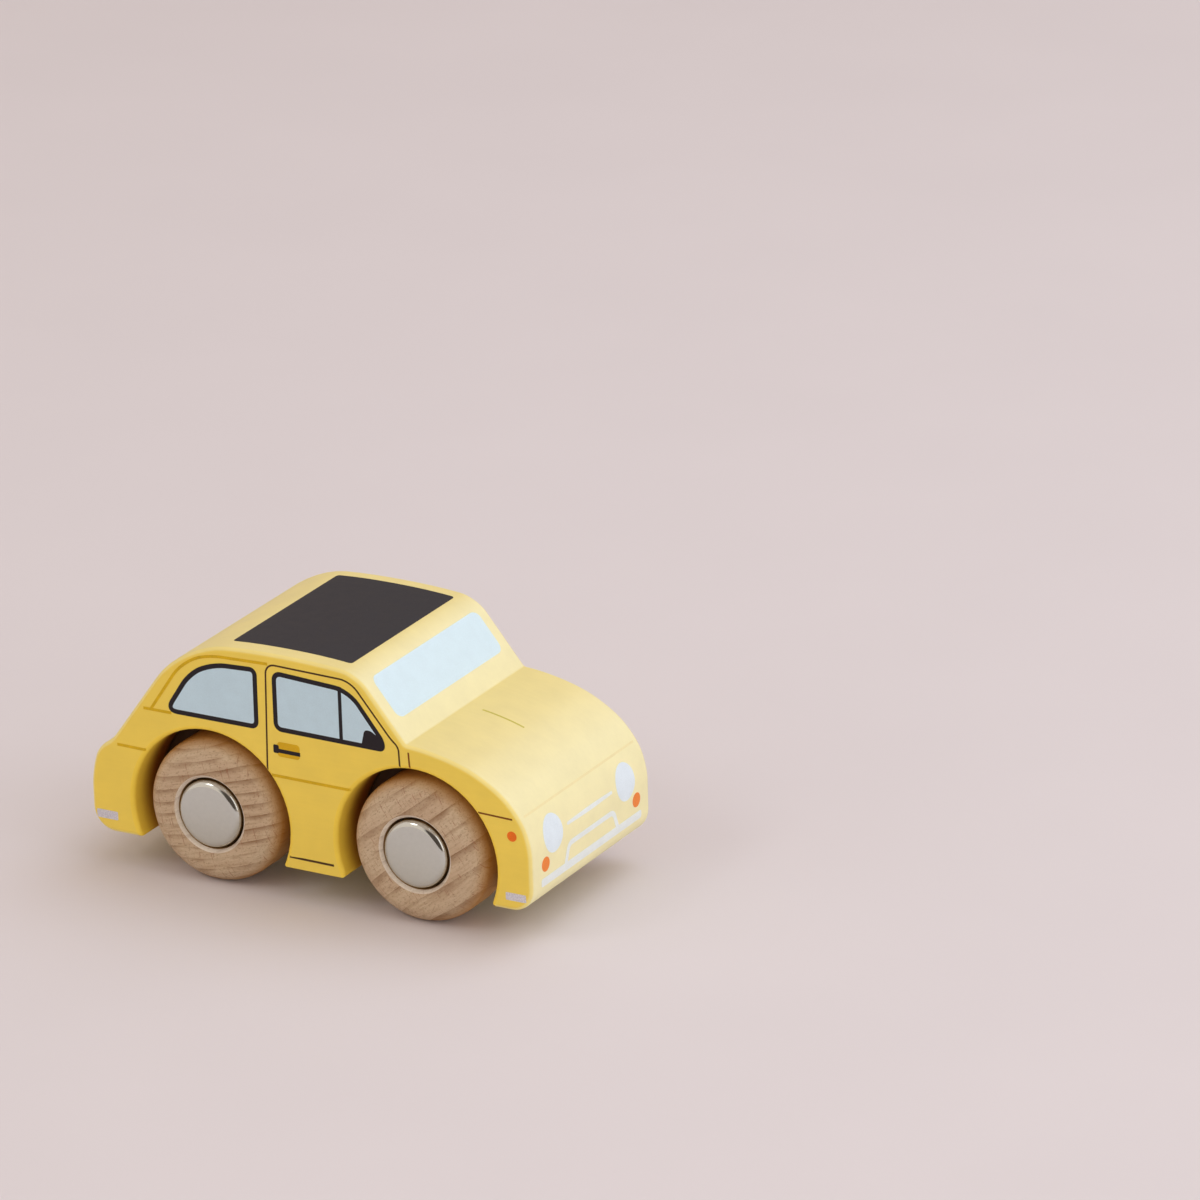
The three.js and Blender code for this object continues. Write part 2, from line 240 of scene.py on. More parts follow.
def turned_beech(name, tilt_degrees, ring_pitch, base="#D0BA9A", marking=1.0, end_grain_and_painted_shade=0.75):
    """Bare beech: warm tan, matt, with ring lines, fibres, rays and pores."""
    finish, shader = new_finish(name, IOR=1.5, Metallic=0.0, Specular_IOR_Level=0.3)
    places = add(finish, "ShaderNodeTexCoord")
    turn = (PLANK_LEAN, math.radians(tilt_degrees), 0.0)
    plank = add(finish, "ShaderNodeMapping", {"Vector": places.outputs["Object"]},
                {"Rotation": turn})
    rings = add(finish, "ShaderNodeTexWave", {"Vector": plank.outputs[0]},
                {"Scale": WAVE_PERIOD / (ring_pitch * MM), "Distortion": 3.2, "Detail": 0.6,
                 "Detail Scale": 0.55}, bands_direction="Z", wave_profile="SAW")
    facing = add(finish, "ShaderNodeSeparateXYZ", {"Vector": places.outputs["Normal"]})
    flatness = add(finish, "ShaderNodeMath", {0: facing.outputs["Y"]}, operation="ABSOLUTE")
    marks = {}
    for mark, run in (("fibre", (FIBRE_LONG, FIBRE_ACROSS, FIBRE_ACROSS)),
                      ("ray", (RAY_ACROSS, RAY_LONG, RAY_LONG)),
                      ("cloud", (CLOUD_LONG, CLOUD_ACROSS, CLOUD_ACROSS)),
                      ("pore", (PORE_DOT * 2, PORE_DOT, PORE_DOT))):
        stretch = add(finish, "ShaderNodeMapping", {"Vector": plank.outputs[0]},
                      {"Scale": [1 / size for size in run]})
        marks[mark] = add(finish, "ShaderNodeTexNoise", {"Vector": stretch.outputs[0]},
                          {"Scale": 1.0, "Detail": 3.0, "Roughness": 0.6}).outputs["Fac"]
    strong = add(finish, "ShaderNodeMapRange", {"Value": marks["cloud"]},
                 {"From Min": 0.35, "From Max": 0.65, "To Min": 0.55, "To Max": 1.0})
    ring_line = add(finish, "ShaderNodeMath",
                    {0: rings.outputs["Fac"], 1: strong.outputs[0]}, operation="MULTIPLY")
    wood = None
    for source, start, end, most, tone in (
            (marks["cloud"], 0.35, 0.65, 0.55 * marking, "#C2A384"),
            (ring_line.outputs[0], 0.5, 1.0, 0.9 * marking, "#85603C"),
            (marks["fibre"], 0.45, 0.7, 0.45 * marking, "#A98A69"),
            (marks["ray"], 0.615, 0.67, 0.6 * marking, "#94583A"),
            (marks["pore"], 0.55, 0.68, 0.5 * marking, "#7E5A3A"),
            # The tread tone is end grain and also painted shade with painted bounced light.
            (flatness.outputs[0], 0.8, 0.2, end_grain_and_painted_shade, "#B57E36")):
        share = add(finish, "ShaderNodeMapRange", {"Value": source},
                    {"From Min": start, "From Max": end, "To Max": most})
        links = {"Factor": share.outputs[0]}
        if wood:
            links["A"] = wood.outputs["Result"]
        wood = add(finish, "ShaderNodeMix", links,
                   {"A": linear(base), "B": linear(tone)}, data_type="RGBA")
    relief = add(finish, "ShaderNodeBump", {"Height": marks["pore"]},
                 {"Strength": 0.35, "Distance": 0.05 * MM}, invert=True)
    rough = add(finish, "ShaderNodeMapRange", {"Value": marks["fibre"]},
                {"To Min": 0.55, "To Max": 0.7})
    feed(finish, shader, Base_Color=wood.outputs["Result"], Roughness=rough.outputs[0],
         Normal=relief.outputs[0])
    return finish


WHEEL_WOOD = {"front": turned_beech("turned_beech_steep_grain", 38, 4.4),
              "rear": turned_beech("turned_beech_level_grain", 14, 2.5)}
# The chamfer's light tone is partly fresh-cut wood and partly a painted highlight.
chamfer_wood_with_painted_highlight = turned_beech("fresh_cut_beech_with_painted_highlight", 25, 2.5, "#EFE2CE", 0.35, 0.0)
print("wheel woods:", [wood.name for wood in WHEEL_WOOD.values()])

# %% [markdown]
# Three metals: the polished nickel of the hub caps, the drawn steel of the axles and the blued
# spring steel of the push-on washers behind the caps. A metal's colour is its reflection, so each
# is fully metallic and differs by tint, by roughness and by how fine its scratches are.

# %% Metals
def bare_metal(name, hex_text, smooth, rough, scratch, stretch):
    """Metal whose roughness wanders between two values in fine scratches."""
    finish, shader = new_finish(name, Metallic=1.0)
    places = add(finish, "ShaderNodeTexCoord")
    run = add(finish, "ShaderNodeMapping", {"Vector": places.outputs["Object"]},
              {"Scale": (1 / scratch, 1 / (scratch * stretch), 1 / scratch)})
    marks = add(finish, "ShaderNodeTexNoise", {"Vector": run.outputs[0]},
                {"Scale": 1.0, "Detail": 3.0})
    gloss = add(finish, "ShaderNodeMapRange", {"Value": marks.outputs["Fac"]},
                {**NOISE_SPAN, "To Min": smooth, "To Max": rough})
    tint = add(finish, "ShaderNodeMapRange", {"Value": marks.outputs["Fac"]},
               {**NOISE_SPAN, "To Min": 0.96, "To Max": 1.0})
    colour = add(finish, "ShaderNodeVectorMath", {"Scale": tint.outputs[0]},
                 {0: linear(hex_text)[:3]}, operation="SCALE")
    feed(finish, shader, Base_Color=colour.outputs[0], Roughness=gloss.outputs[0])
    return finish


cap_nickel = bare_metal("polished_nickel_plate", "#D1D3CB", 0.08, 0.15, 0.8 * MM, 1)
axle_steel = bare_metal("drawn_axle_steel", "#A8A6A2", 0.28, 0.4, 0.2 * MM, 20)
spring_steel = bare_metal("blued_spring_steel", "#6C6A68", 0.3, 0.45, 0.5 * MM, 1)
print("metals:", cap_nickel.name, axle_steel.name, spring_steel.name)

# %% [markdown]
# Every shape starts as a bmesh and ends in the same way: doubles merged, normals turned outwards,
# smooth shading with sharp edges kept, and a Weighted Normal modifier, which keeps big flat faces
# flat beside small rounded edges. The new object then rides on its body.

# %% Turning a bmesh into a piece
SHARP = math.radians(32)
WELD = 0.0005


def make_piece(bm, name, finishes, body, stands_for=()):
    """Makes a named object of a finished bmesh, riding on a body of the car."""
    bmesh.ops.remove_doubles(bm, verts=bm.verts, dist=WELD * MM)
    bmesh.ops.recalc_face_normals(bm, faces=bm.faces)
    for face in bm.faces:
        face.smooth = True
    open_edges = sum(len(edge.link_faces) != 2 for edge in bm.edges)
    mesh = bpy.data.meshes.new(name)
    bm.to_mesh(mesh)
    bm.free()
    mesh.set_sharp_from_angle(angle=SHARP)
    for finish in finishes:
        mesh.materials.append(finish)
    piece = bpy.data.objects.new(name, mesh)
    bpy.context.scene.collection.objects.link(piece)
    shading = piece.modifiers.new("even_shading", "WEIGHTED_NORMAL")
    shading.keep_sharp = True
    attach(piece, body)
    if stands_for:
        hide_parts(*stands_for)
    print(name, len(mesh.polygons), "faces, open edges:", open_edges)
    return piece


print("edges stay sharp above", round(math.degrees(SHARP)), "degrees")

# %% [markdown]
# The block was sawn from a plank to the outline of a little saloon car, so its shape is one side
# outline pulled across the width. The outline is drawn as straight runs between corners, and each
# corner is rounded by its own setback with a vertex bevel, as a sander would round it: small in
# the corner under the windscreen, long and soft over the bonnet and the roof. Points closer than
# the shortest edge are merged, because a later bevel needs some length of edge to work on.

# %% Side outline of the block
HALF_WIDTH = 23.5
SHORTEST, OUTLINE_STEPS = 0.12, 8
NOSE_X = 50.45
BELLY_Z = 6.8
BLOCK_CORNERS = [  # x, z and setback in mm
    (-NOSE_X, BELLY_Z, 5.0), (NOSE_X, BELLY_Z, 5.0), (NOSE_X, 21.62, 3.55), (47.2, 28.15, 3.65),
    (40.54, 33.46, 4.4), (30.45, 36.95, 5.5), (22.9, 37.5, 0.4), (12.4, 50.45, 3.6),
    (-4.45, 52.08, 12.5), (-27.9, 50.2, 10.3), (-45.3, 26.6, 1.5), (-48.5, 24.78, 2.1),
    (-NOSE_X, 19.35, 3.3),
]


def rounded_face(bm, corners, place, scale, steps):
    """One face through the corners, each rounded by its setback times the scale."""
    points = [bm.verts.new(place(u, v)) for u, v, setback in corners]
    bm.faces.new(points)
    for point, (u, v, setback) in zip(points, corners):
        if setback:
            bmesh.ops.bevel(bm, geom=[point], affect="VERTICES", offset=setback * scale,
                            offset_type="OFFSET", segments=steps, profile=0.5, material=-1)


def on_right_side(u, v):
    """A point of the side outline, on the right face of the block."""
    return Vector((u, -HALF_WIDTH, v)) * MM


block = bmesh.new()
rounded_face(block, BLOCK_CORNERS, on_right_side, MM, OUTLINE_STEPS)
bmesh.ops.remove_doubles(block, verts=block.verts, dist=SHORTEST * MM)
grown = bmesh.ops.extrude_face_region(block, geom=block.faces[:])
across = [part for part in grown["geom"] if isinstance(part, bmesh.types.BMVert)]
bmesh.ops.translate(block, verts=across, vec=(0, 2 * HALF_WIDTH * MM, 0))
bmesh.ops.recalc_face_normals(block, faces=block.faces)
print("outline points:", len(across))

# %% [markdown]
# Four round pockets are bored into the sides for the wheels, and two holes go right through for
# the axles. A Boolean modifier cuts them: it is the same act as the drill's, and it leaves clean
# rims. The pocket cutter's points are turned so that none falls close to the belly, for the sake
# of the bevel that rounds the rims next.

# %% Wheel pockets and axle holes
AXLE_X = {"front": 24.5, "rear": -22.5}
AXLE_Z = 15.0
ARCH_Z, ARCH_RADIUS, ARCH_POINTS = 14.5, 18.0, 60
POCKET_FLOOR, BORE_RADIUS, BORE_POINTS = 11.9, 3.1, 40
DRILL_REACH = 30


def bored_out(bm, drills):
    """Cuts a cylinder for each drill (radius, x, from y, to y, z, points) and returns the rest."""
    cutter_mesh = bpy.data.meshes.new("cutter")
    cutters = bmesh.new()
    for radius, x, start, end, z, points in drills:
        place = Matrix.Translation(Vector((x, (start + end) / 2, z)) * MM)
        stand = Matrix.Rotation(math.pi / 2, 4, "X") @ Matrix.Rotation(math.pi / points, 4, "Z")
        bmesh.ops.create_cone(cutters, cap_ends=True, segments=points, radius1=radius * MM,
                              radius2=radius * MM, depth=abs(end - start) * MM,
                              matrix=place @ stand)
    cutters.to_mesh(cutter_mesh)
    cutters.free()
    stock_mesh = bpy.data.meshes.new("stock")
    bm.to_mesh(stock_mesh)
    stock = bpy.data.objects.new("stock", stock_mesh)
    drill_set = bpy.data.objects.new("drill_set", cutter_mesh)
    for thing in (stock, drill_set):
        bpy.context.scene.collection.objects.link(thing)
    cut = stock.modifiers.new("cut", "BOOLEAN")
    cut.object, cut.operation, cut.solver = drill_set, "DIFFERENCE", "EXACT"
    bpy.context.view_layer.update()
    shaped = stock.evaluated_get(bpy.context.evaluated_depsgraph_get()).to_mesh()
    result = bmesh.new()
    result.from_mesh(shaped)
    bpy.data.objects.remove(stock)
    bpy.data.objects.remove(drill_set)
    return result


pockets = [(ARCH_RADIUS, x, side * POCKET_FLOOR, side * DRILL_REACH, ARCH_Z, ARCH_POINTS)
           for x in AXLE_X.values() for side in (-1, 1)]
bores = [(BORE_RADIUS, x, -DRILL_REACH, DRILL_REACH, AXLE_Z, BORE_POINTS)
         for x in AXLE_X.values()]
block = bored_out(bored_out(block, pockets), bores)
print("block after boring:", len(block.faces), "faces")

# %% [markdown]
# The machined block is then tumbled and sanded, so no edge is left sharp. The outline's edges get
# the widest rounding, and the rims of the pockets a narrower one. The edges are picked out by
# where they lie: first the outline on both sides, then every edge round a pocket's mouth. The
# wall of a pocket has flat facets, so its middles lie a little inside the true circle.

# %% Soft edges
EDGE_ROUND, EDGE_STEPS = 1.1, 5
RIM_ROUND, RIM_STEPS = 0.9, 3
HAIR, FACET_SLACK, LEVEL = 0.01, 0.06, 0.05


def arch_gap(point):
    """The distance in mm from the middle of the nearer pocket, seen from the side."""
    return min(math.hypot(point.x / MM - x, point.z / MM - ARCH_Z) for x in AXLE_X.values())


def near_arch(point, slack):
    """Whether a point lies on the round wall of a pocket, seen from the side."""
    return abs(arch_gap(point) - ARCH_RADIUS) < slack


def at_depth(point, depth):
    """Whether a point lies at a distance from the middle plane, on either side."""
    return abs(abs(point.y) - depth * MM) < HAIR * MM


def soften(bm, edges, size, steps):
    """Rounds edges by a size in mm."""
    bmesh.ops.bevel(bm, geom=edges, affect="EDGES", offset=size * MM, offset_type="OFFSET",
                    segments=steps, profile=0.5, material=-1)


def is_wall(face):
    """Whether a face is part of a pocket's round wall."""
    return near_arch(face.calc_center_median(), FACET_SLACK) and abs(face.normal.y) < LEVEL


outline = [edge for edge in block.edges
           if all(at_depth(v.co, HALF_WIDTH) for v in edge.verts)
           and abs(edge.verts[0].co.y - edge.verts[1].co.y) < HAIR * MM
           and not all(near_arch(v.co, 2 * HAIR) for v in edge.verts)]
soften(block, outline, EDGE_ROUND, EDGE_STEPS)
block.normal_update()
mouths = [edge for edge in block.edges if len(edge.link_faces) == 2
          and sum(is_wall(face) for face in edge.link_faces) == 1
          and not all(at_depth(v.co, POCKET_FLOOR) for v in edge.verts)]
mouths += [edge for edge in block.edges
           if all(at_depth(v.co, POCKET_FLOOR) and v.co.z < (BELLY_Z + HAIR) * MM
                  for v in edge.verts)]
soften(block, mouths, RIM_ROUND, RIM_STEPS)
print("rounded edges:", len(outline), "on the outline,", len(mouths), "round the pockets")

# %% [markdown]
# The pocket faces get the second paint, whose tones are painted shade that deepens inside them.
# The finished block replaces the CAD block, and its surface is kept in a search tree: the printed
# films are laid on it later by dropping each of their points along a ray until it meets the wood.

# %% The painted block
FLOOR_SLACK, SIDEWAYS = 0.3, 0.985
STATIONS = (-40, -4.45, 17, 30, 45)


def in_pocket(face):
    """Whether a face lies in one of the bored pockets or on its rounded rim."""
    point = face.calc_center_median()
    deep = abs(point.y) > (POCKET_FLOOR - FLOOR_SLACK) * MM and abs(face.normal.y) < SIDEWAYS
    on_floor = at_depth(point, POCKET_FLOOR)
    return arch_gap(point) < ARCH_RADIUS + RIM_ROUND and (deep or on_floor)


block.normal_update()
for face in block.faces:
    face.material_index = int(in_pocket(face))
bmesh.ops.recalc_face_normals(block, faces=block.faces)
block_surface = BVHTree.FromBMesh(block)
painted_block = make_piece(block, "painted_block", [skin_paint_with_painted_light, pocket_paint_with_painted_shade], "car_body",
                           ["body_block"])
reach = [block_surface.ray_cast(Vector((x * MM, 0, 0.1)), Vector((0, 0, -1)))[0].z / MM
         for x in STATIONS]
print("height at", len(STATIONS), "stations in mm:", [round(z, 2) for z in reach])

# %% [markdown]
# Each print is a closed film a few hundredths of a millimetre thick, drawn flat in millimetres
# as (across, up, height) and laid on the block afterwards. A patch is a rounded face, a disc a
# capped circle, and a line is a wire that gets the film's height and then its own width. A film
# that lies over another is a little thicker, so that the two tops never share a plane.

# %% Drawing films flat
FILM, SINK = 0.03, 0.02
SECOND_FILM, THIRD_FILM = FILM * 1.2, FILM * 1.4
CORNER_STEPS, DISC_POINTS = 6, 40
INK_ORDER = list(INKS)


def flat(u, v):
    """A point of a film that is still drawn flat, in mm."""
    return Vector((u, v, 0))


def box_corners(left, right, low, high, setback):
    """Four corners of a rounded rectangle."""
    return [(left, low, setback), (right, low, setback), (right, high, setback),
            (left, high, setback)]


def close_film(bm, ink, rise):
    """Gives a flat drawing its thickness, from under the paint to its rise above it."""
    bmesh.ops.translate(bm, verts=bm.verts, vec=(0, 0, -SINK))
    grown = bmesh.ops.extrude_face_region(bm, geom=bm.faces[:])
    top = [part for part in grown["geom"] if isinstance(part, bmesh.types.BMVert)]
    bmesh.ops.translate(bm, verts=top, vec=(0, 0, rise + SINK))
    for face in bm.faces:
        face.material_index += INK_ORDER.index(ink)
    return bm


def patch(corners, ink, rise=FILM, border=None, inside=None):
    """A filled shape; with a border width it gets a rim of its ink round another ink."""
    bm = bmesh.new()
    rounded_face(bm, corners, flat, 1.0, CORNER_STEPS)
    if border:
        bm.normal_update()
        bmesh.ops.inset_region(bm, faces=bm.faces[:], thickness=border, use_boundary=True,
                               use_even_offset=True)
        middle = max(bm.faces, key=lambda face: face.calc_area())
        middle.material_index = INK_ORDER.index(inside) - INK_ORDER.index(ink)
    return close_film(bm, ink, rise)


def disc(u, v, wide, high, ink, rise=FILM):
    """A filled circle or oval."""
    bm = bmesh.new()
    bmesh.ops.create_circle(bm, cap_ends=True, segments=DISC_POINTS, radius=1.0)
    bmesh.ops.scale(bm, verts=bm.verts, vec=(wide, high, 1))
    bmesh.ops.translate(bm, verts=bm.verts, vec=(u, v, 0))
    return close_film(bm, ink, rise)


def line(points, width, ink, rise=FILM):
    """A line through points (across, up, setback of the bend)."""
    bm = bmesh.new()
    ends = [bm.verts.new((u, v, -SINK)) for u, v, setback in points]
    for start, end in zip(ends, ends[1:]):
        bm.edges.new((start, end))
    for end, (u, v, setback) in zip(ends, points):
        if setback:
            bmesh.ops.bevel(bm, geom=[end], affect="VERTICES", offset=setback,
                            offset_type="OFFSET", segments=CORNER_STEPS, profile=0.5,
                            material=-1)
    grown = bmesh.ops.extrude_edge_only(bm, edges=bm.edges[:])
    top = [part for part in grown["geom"] if isinstance(part, bmesh.types.BMVert)]
    bmesh.ops.translate(bm, verts=top, vec=(0, 0, rise + SINK))
    bmesh.ops.recalc_face_normals(bm, faces=bm.faces)
    bmesh.ops.solidify(bm, geom=bm.faces[:], thickness=width)
    for face in bm.faces:
        face.material_index = INK_ORDER.index(ink)
    return bm


print("film thickness in mm:", FILM)

# %% [markdown]
# A whole print is several such films in one object. To follow a curved face, a film is first cut
# into narrow strips with bisect_plane, and then each point is laid on the wood. The object only
# keeps the inks that it uses.

# %% Laying a print on the block
RAY_START = 80
SHORT_CUT = 0.03


def sliced(bm, axis, step):
    """Cuts a flat film into strips of one step, so that it can bend."""
    normal = Vector([int(axis == i) for i in range(3)])
    low = min(v.co[axis] for v in bm.verts)
    high = max(v.co[axis] for v in bm.verts)
    for i in range(1, math.ceil((high - low) / step)):
        bmesh.ops.bisect_plane(bm, geom=bm.verts[:] + bm.edges[:] + bm.faces[:], dist=SHORT_CUT,
                               plane_co=normal * (low + i * step), plane_no=normal)
    return bm


def lay_print(name, films, lay):
    """Joins films into one piece, each point placed by lay(across, up, height) in mm."""
    whole = bmesh.new()
    for film in films:
        carrier = bpy.data.meshes.new("film")
        film.to_mesh(carrier)
        film.free()
        whole.from_mesh(carrier)
        bpy.data.meshes.remove(carrier)
    for vert in whole.verts:
        vert.co = Vector(lay(*vert.co)) * MM
    used = sorted({face.material_index for face in whole.faces})
    for face in whole.faces:
        face.material_index = used.index(face.material_index)
    finishes = [INKS[INK_ORDER[i]] for i in used]
    return make_piece(whole, name, finishes, "car_body")


def onto(start, direction):
    """The point in mm where a ray from a start in mm meets the block."""
    return block_surface.ray_cast(Vector(start) * MM, Vector(direction))[0] / MM


print("top of the roof:", [round(c, 2) for c in onto((0, 0, RAY_START), (0, 0, -1))])

# %% [markdown]
# The side print is a door, two windows with thick black frames, a handle with its shaded patch, a
# small mirror and a few fine seam lines. Most of it lies on the flat side, but some lines run out
# over the rounded rim of a wheel pocket, and the corner trims over the rounded outline. So each
# film is pressed straight onto the side, and what has to bend there gets close points first. The
# left side has the same print, mirrored by its sign.

# %% Side windows and door
FRAME_LINE, SEAM, SILL_LINE, GOLD_LINE = 1.0, 0.36, 0.46, 0.6
HANDLE_BAR = 0.85
BEND_STEP, BEND_POINTS = 0.25, 6
WINDOW_STRIP, TRIM_STRIP = 2.0, 0.4


def bent_ends(points):
    """The points of a line, with more of them near both ends, so that the ends can bend."""
    def leading(start, goal):
        step = (Vector(goal[:2]) - Vector(start[:2])).normalized() * BEND_STEP
        return [(start[0] + step.x * i, start[1] + step.y * i, 0) for i in range(BEND_POINTS + 1)]
    head = leading(points[0], points[1])
    foot = leading(points[-1], points[-2])[::-1]
    return head + points[1:-1] + foot


def framed_window(corners):
    """A pale window with a black frame."""
    return patch(corners, "black", border=FRAME_LINE, inside="side_glass")


def corner_trim(left, right, low, high):
    """A small trim patch that can bend over the rounded outline."""
    film = patch(box_corners(left, right, low, high, 0.2), "trim")
    return sliced(sliced(film, 0, TRIM_STRIP), 1, TRIM_STRIP)


def from_side(sign):
    """Gives the function that presses a film drawn as (x, z) onto one side of the block."""
    def press(u, v, w):
        met = onto((u, sign * RAY_START, v), (0, -sign, 0))
        return (met.x, met.y + sign * w, met.z)
    return press


def side_films():
    """The films of one side, drawn as (x, z)."""
    rear_window = [(-32.5, 35.0, 3.2), (-10.4, 35.0, 1.6), (-10.3, 48.0, 1.7),
                   (-21.0, 47.5, 3.5), (-26.5, 44.2, 2.7)]
    door_window = [(-6.9, 35.4, 1.8), (18.5, 35.2, 1.4), (18.3, 37.7, 1.0), (10.9, 47.2, 3.4),
                   (-6.9, 48.1, 2.0)]
    mirror = [(13.0, 35.6, 0.3), (18.0, 35.6, 0.4), (17.9, 37.6, 0.6), (15.0, 39.3, 0.7),
              (13.8, 39.0, 0.5)]
    divider = [(8.1, 35.6, 0), (8.9, 35.6, 0), (8.9, 47.2, 0), (8.1, 47.3, 0)]
    door_seam = [(-8.97, 26.85, 0), (-8.4, 49.4, 2.2), (11.1, 49.0, 2.4), (19.9, 38.3, 1.1),
                 (21.6, 36.9, 1.0), (21.75, 32.6, 0)]
    drip_rail = [(-35.5, 35.4, 0), (-27.6, 46.9, 4.2), (-21.0, 49.1, 2.6), (-7.8, 49.5, 0)]
    return [
        sliced(framed_window(rear_window), 0, WINDOW_STRIP),
        sliced(framed_window(door_window), 0, WINDOW_STRIP),
        patch(divider, "black", SECOND_FILM),
        patch(mirror, "black", THIRD_FILM),
        line(bent_ends(door_seam), SEAM, "brown"),
        line(bent_ends([(23.8, 36.1, 0), (24.0, 32.8, 0)]), SEAM, "russet"),
        line(bent_ends([(38.9, 26.5, 0), (46.5, 26.3, 0)]), SEAM, "russet"),
        line([(-4.5, 8.9, 0), (5.6, 8.8, 0)], SILL_LINE, "brown"),
        line(drip_rail, GOLD_LINE, "gold", SECOND_FILM),
        line([(-37.1, 35.3, 0), (-30.6, 35.3, 0)], GOLD_LINE, "gold"),
        line(bent_ends([(-43.7, 26.4, 0), (-37.0, 26.3, 0)]), GOLD_LINE, "gold"),
        line(bent_ends([(-8.3, 26.2, 0), (10.2, 26.1, 0)]), GOLD_LINE, "gold"),
        patch(box_corners(-6.3, -1.2, 30.1, 33.2, 0.7), "amber"),
        patch(box_corners(-7.2, -5.95, 30.75, 32.5, 0.3), "black", THIRD_FILM),
        line([(-6.3, 31.75, 0), (-1.1, 31.7, 0)], HANDLE_BAR, "black", SECOND_FILM),
        corner_trim(-49.3, -44.4, 9.6, 11.4),
        corner_trim(44.5, 49.0, 9.1, 10.7),
        disc(46.3, 22.6, 1.05, 1.05, "orange"),
    ]


for side_name, sign in (("right", -1), ("left", 1)):
    lay_print("side_print_" + side_name, side_films(), from_side(sign))

# %% [markdown]
# On top are a charcoal sunroof panel, a pale windscreen and two fine lines on the bonnet. The roof
# is slightly crowned and the windscreen leans back, so their films are sliced and dropped onto the
# wood: straight down on the roof and bonnet, and square to the slope on the windscreen.

# %% Roof panel, windscreen and bonnet lines
BONNET_LINE, LID_LINE = 0.42, 0.25
ROOF_STRIP, BONNET_STRIP, GLASS_STRIP = 1.2, 0.8, 0.5


def from_above(u, v, w):
    """Drops a film drawn as (x, y) onto the top of the car."""
    met = onto((u, v, RAY_START), (0, 0, -1))
    return (met.x, met.y, met.z + w)


GLASS_FOOT, GLASS_HEAD = Vector((20.05, 0, 41.67)), Vector((14.08, 0, 48.81))
GLASS_UP = (GLASS_HEAD - GLASS_FOOT).normalized()
GLASS_OUT = Vector((GLASS_UP.z, 0, -GLASS_UP.x))
GLASS_RISE = (GLASS_HEAD - GLASS_FOOT).length
GLASS_CLEAR = 20


def from_windscreen(u, v, w):
    """Presses a film drawn as (y, up the slope) onto the sloping windscreen."""
    start = GLASS_FOOT + GLASS_UP * v + Vector((0, u, 0)) + GLASS_OUT * GLASS_CLEAR
    return onto(start, -GLASS_OUT) + GLASS_OUT * w


roof_panel = patch(box_corners(-18.0, 9.1, -19.6, 20.1, 0.7), "charcoal")
bonnet_line = line([(26.8, 0, 0), (36.1, 0, 0)], BONNET_LINE, "olive")
lid_edge = line([(47.9, -21.6, 0), (47.9, 21.6, 0)], LID_LINE, "shade")
top_films = [sliced(roof_panel, 0, ROOF_STRIP), sliced(bonnet_line, 0, BONNET_STRIP), lid_edge]
lay_print("top_print", top_films, from_above)
windscreen = patch(box_corners(-20.1, 20.2, -0.2, GLASS_RISE + 0.25, 1.8), "front_glass")
lay_print("windscreen_print", [sliced(windscreen, 1, GLASS_STRIP)], from_windscreen)

# %% [markdown]
# The nose carries two round headlamps, two small orange lamps, a plain trim strip, a bumper strip
# and a bent over-rider bar. The back is not seen in the picture: it gets a rear window, two red
# lamps and a bumper strip of the same kind, so that the car is finished from every side.

# %% Nose and tail prints
END_STRIP, BAR_LINE = 0.6, 1.1
BUMPER = box_corners(-19.8, 19.8, 11.15, 12.85, 0.5)


def from_front(u, v, w):
    """Presses a film drawn as (y, z) onto the nose."""
    met = onto((RAY_START, u, v), (-1, 0, 0))
    return (met.x + w, met.y, met.z)


def from_behind(u, v, w):
    """Presses a film drawn as (y, z) onto the tail."""
    met = onto((-RAY_START, u, v), (1, 0, 0))
    return (met.x - w, met.y, met.z)


nose = [disc(side * 14.3, 20.6, 3.6, 3.85, "lamp") for side in (-1, 1)]
nose += [disc(side * 18.0, 15.5, 1.5, 1.5, "light_orange") for side in (-1, 1)]
nose += [
    patch([(-8.9, 20.2, 0.2), (0, 20.0, 2), (8.9, 20.2, 0.2), (8.9, 20.8, 0.2),
           (0, 21.0, 2), (-8.9, 20.8, 0.2)], "bumper"),
    patch(BUMPER, "bumper"),
    line([(-10.9, 12.5, 0), (-9.2, 16.9, 1.5), (9.2, 16.9, 1.5), (10.9, 12.5, 0)], BAR_LINE,
         "bumper", SECOND_FILM),
]
lay_print("nose_print", [sliced(film, 1, END_STRIP) for film in nose], from_front)

rear_glass = [(-16.5, 34.2, 1.8), (16.5, 34.2, 1.8), (15.0, 43.5, 2.2), (-15.0, 43.5, 2.2)]
tail = [framed_window(rear_glass)]
tail += [patch(box_corners(side * 16.8 - 1.3, side * 16.8 + 1.3, 16.2, 21.4, 1.0), "red")
         for side in (-1, 1)]
tail += [patch(BUMPER, "bumper")]
lay_print("tail_print", [sliced(film, 1, END_STRIP) for film in tail], from_behind)

# %% [markdown]
# Wheels, caps and axles are round, so each is a half section that is spun about the axle. The
# section's corners are rounded by vertex bevels before the spin, and the merged spin closes the
# ring. The wheel is a thick disc with a soft tread and a turned recess for the cap, whose mouth
# has a small chamfer of fresh-cut wood, given a lighter finish that is partly a painted highlight.

# %% Turning round pieces
SPIN_STEPS = 96


def spun(section, x, closed):
    """Spins a section of (radius, y, setback) in mm about an axle at x."""
    bm = bmesh.new()
    points = [bm.verts.new(Vector((x + radius, y, AXLE_Z)) * MM)
              for radius, y, setback in section]
    for start, end in zip(points, points[1:]):
        bm.edges.new((start, end))
    if closed:
        bm.edges.new((points[-1], points[0]))
    for point, (radius, y, setback) in zip(points, section):
        if setback:
            bmesh.ops.bevel(bm, geom=[point], affect="VERTICES", offset=setback * MM,
                            offset_type="OFFSET", segments=CORNER_STEPS, profile=0.5,
                            material=-1)
    bmesh.ops.spin(bm, geom=bm.verts[:] + bm.edges[:], cent=Vector((x, 0, AXLE_Z)) * MM,
                   axis=(0, 1, 0), angle=math.tau, steps=SPIN_STEPS, use_merge=True)
    return bm


